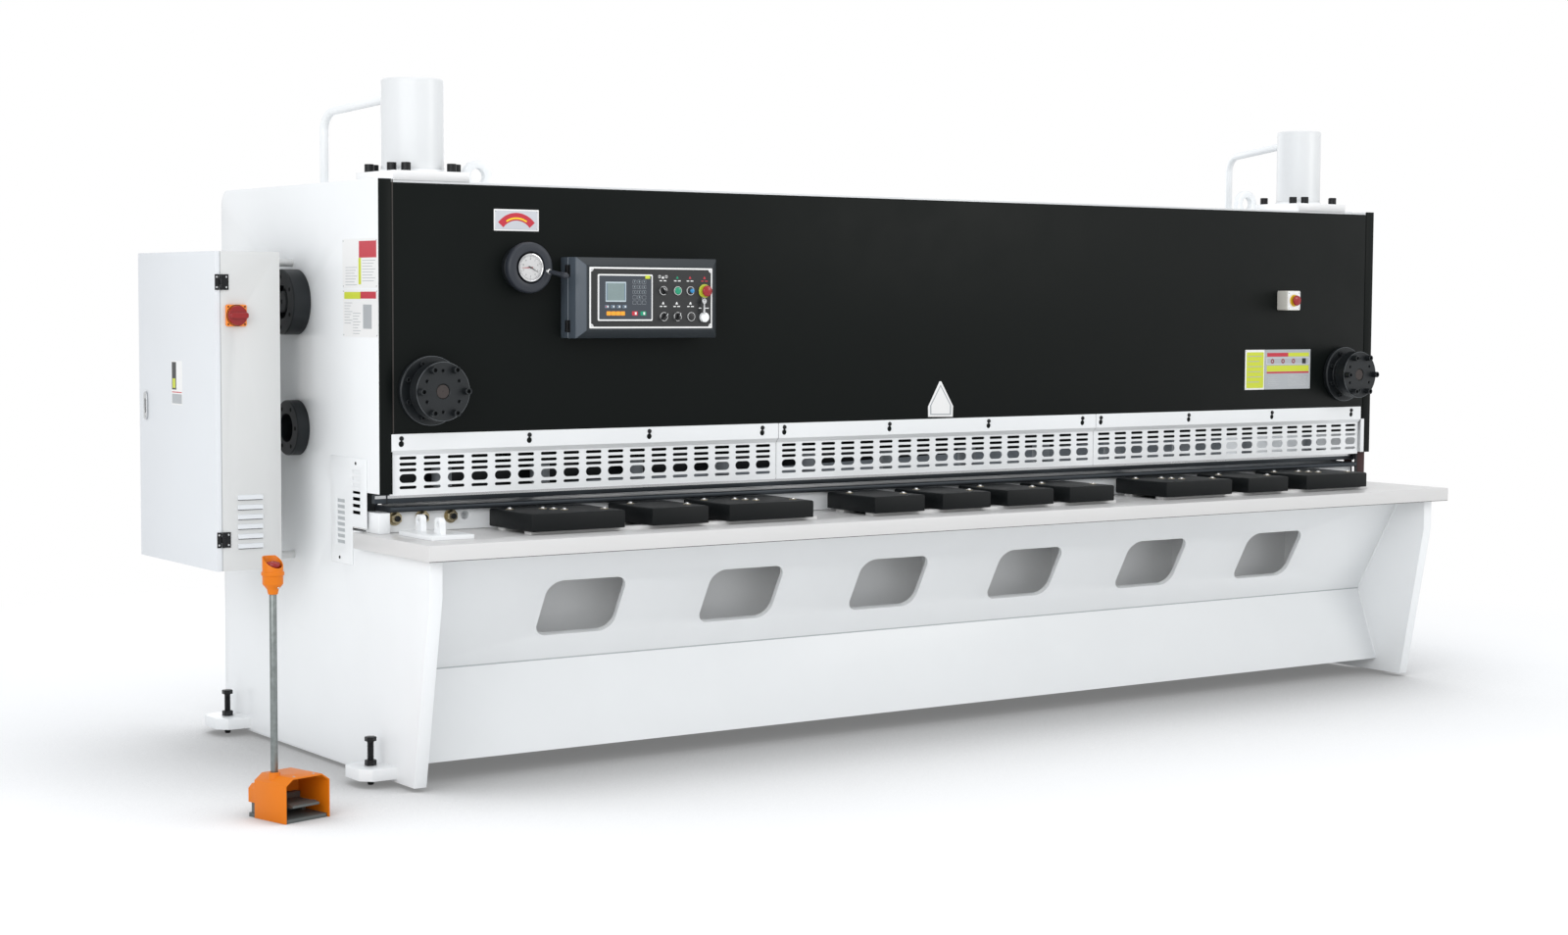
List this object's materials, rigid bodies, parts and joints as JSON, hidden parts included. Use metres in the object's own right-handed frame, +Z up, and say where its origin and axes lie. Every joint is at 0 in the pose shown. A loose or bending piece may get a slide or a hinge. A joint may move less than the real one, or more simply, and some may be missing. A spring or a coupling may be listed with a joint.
{
  "type": "hydraulic guillotine shear",
  "caption": "Hydraulic guillotine shear for sheet metal: raked knife beam between side plates, table with support blocks, finger guard, control cabinet and foot switch.",
  "frame": {"origin": "middle of the whole assembly's box, on the floor", "axes": "+X along the cutting length towards the right end, +Y from the operator to the back, +Z up"},
  "size_m": [4.794, 1.5706, 2.059],
  "materials": {
    "white_paint": "satin",
    "black_paint": "semi-gloss",
    "grey_paint": "satin",
    "charcoal_block": "rough",
    "black_casting": "oiled",
    "blade_steel": "ground",
    "black_oxide": "black oxide",
    "box_paint": "fine texture",
    "dial_face": "gloss",
    "black_plastic": "satin",
    "light_plastic": "satin",
    "red_plastic": "gloss",
    "orange_plate": "satin",
    "orange_paint": "satin",
    "grey_casting": "cast",
    "plated_tube": "satin"
  },
  "bodies": {
    "frame": {"side_frame_left": "white_paint", "side_frame_right": "white_paint", "guard_left": "white_paint", "guard_middle": "white_paint", "guard_right": "white_paint", "table_plate": "white_paint", "table_base": "white_paint", "top_beam": "white_paint", "cylinder_left": "white_paint", "cylinder_right": "white_paint", "cylinder_pipe_left": "white_paint", "cylinder_pipe_right": "white_paint", "vent_cover": "white_paint", "corner_bracket": "white_paint", "cabinet_shell": "white_paint", "oil_tank": "white_paint", "sheet_slide": "white_paint", "front_panel": "black_paint", "hold_down_beam": "black_paint", "blade_seat": "black_paint", "support_blocks_left": "charcoal_block", "support_blocks_middle": "charcoal_block", "support_blocks_right": "charcoal_block", "front_guide_left": "black_casting", "front_guide_right": "black_casting", "side_guide_upper_left": "black_casting", "side_guide_upper_right": "black_casting", "side_guide_lower_left": "black_casting", "side_guide_lower_right": "black_casting", "lower_blade": "blade_steel", "levelling_screws_left": "black_oxide", "levelling_screws_right": "black_oxide", "control_box": "box_paint", "gap_dial": "dial_face", "stop_box": "light_plastic", "isolator_plate": "orange_plate", "foot_cover": "orange_paint", "foot_shroud": "orange_paint", "foot_base": "grey_casting", "foot_post": "plated_tube"},
    "knife": {"knife_beam": "grey_paint", "upper_blade": "blade_steel", "back_gauge": "grey_paint"},
    "door": {"cabinet_door": "white_paint"},
    "isolator": {"isolator_knob": "red_plastic"},
    "control_stop": {"control_stop_button": "red_plastic"},
    "handwheel": {"gap_handwheel": "black_plastic"},
    "panel_stop": {"stop_box_button": "red_plastic"},
    "pedal": {"foot_pedal": "grey_casting"},
    "foot_stop": {"foot_stop_button": "red_plastic"}
  },
  "joints": [
    {"name": "knife_stroke", "type": "slide", "parent": "frame", "child": "knife", "axis": [0, 0, -1], "range_m": [0, 0.138]},
    {"name": "cabinet_door_hinge", "type": "hinge", "parent": "frame", "child": "door", "pos_m": [-2.19602, 0.01832, 1.072], "axis": [0, 0, 1], "range_deg": [0, 110]},
    {"name": "isolator_turn", "type": "hinge", "parent": "frame", "child": "isolator", "pos_m": [-2.15002, 0.02332, 1.356], "axis": [0, -1, 0], "range_deg": [0, 90]},
    {"name": "control_stop_press", "type": "slide", "parent": "frame", "child": "control_stop", "axis": [0, 1, 0], "range_m": [0, 0.006]},
    {"name": "handwheel_turn", "type": "hinge", "parent": "frame", "child": "handwheel", "pos_m": [-1.41202, -0.37168, 1.502], "axis": [0, -1, 0], "continuous": true},
    {"name": "panel_stop_press", "type": "slide", "parent": "frame", "child": "panel_stop", "axis": [0, 1, 0], "range_m": [0, 0.006]},
    {"name": "pedal_press", "type": "hinge", "parent": "frame", "child": "pedal", "pos_m": [-2.31224, -0.66869, 0.026], "axis": [0.9703, 0.2419, 0], "range_deg": [0, 12], "stiffness_Nm_per_rad": 6, "springref_deg": -14.32},
    {"name": "foot_stop_press", "type": "slide", "parent": "frame", "child": "foot_stop", "axis": [0, 0, -1], "range_m": [0, 0.005]}
  ]
}
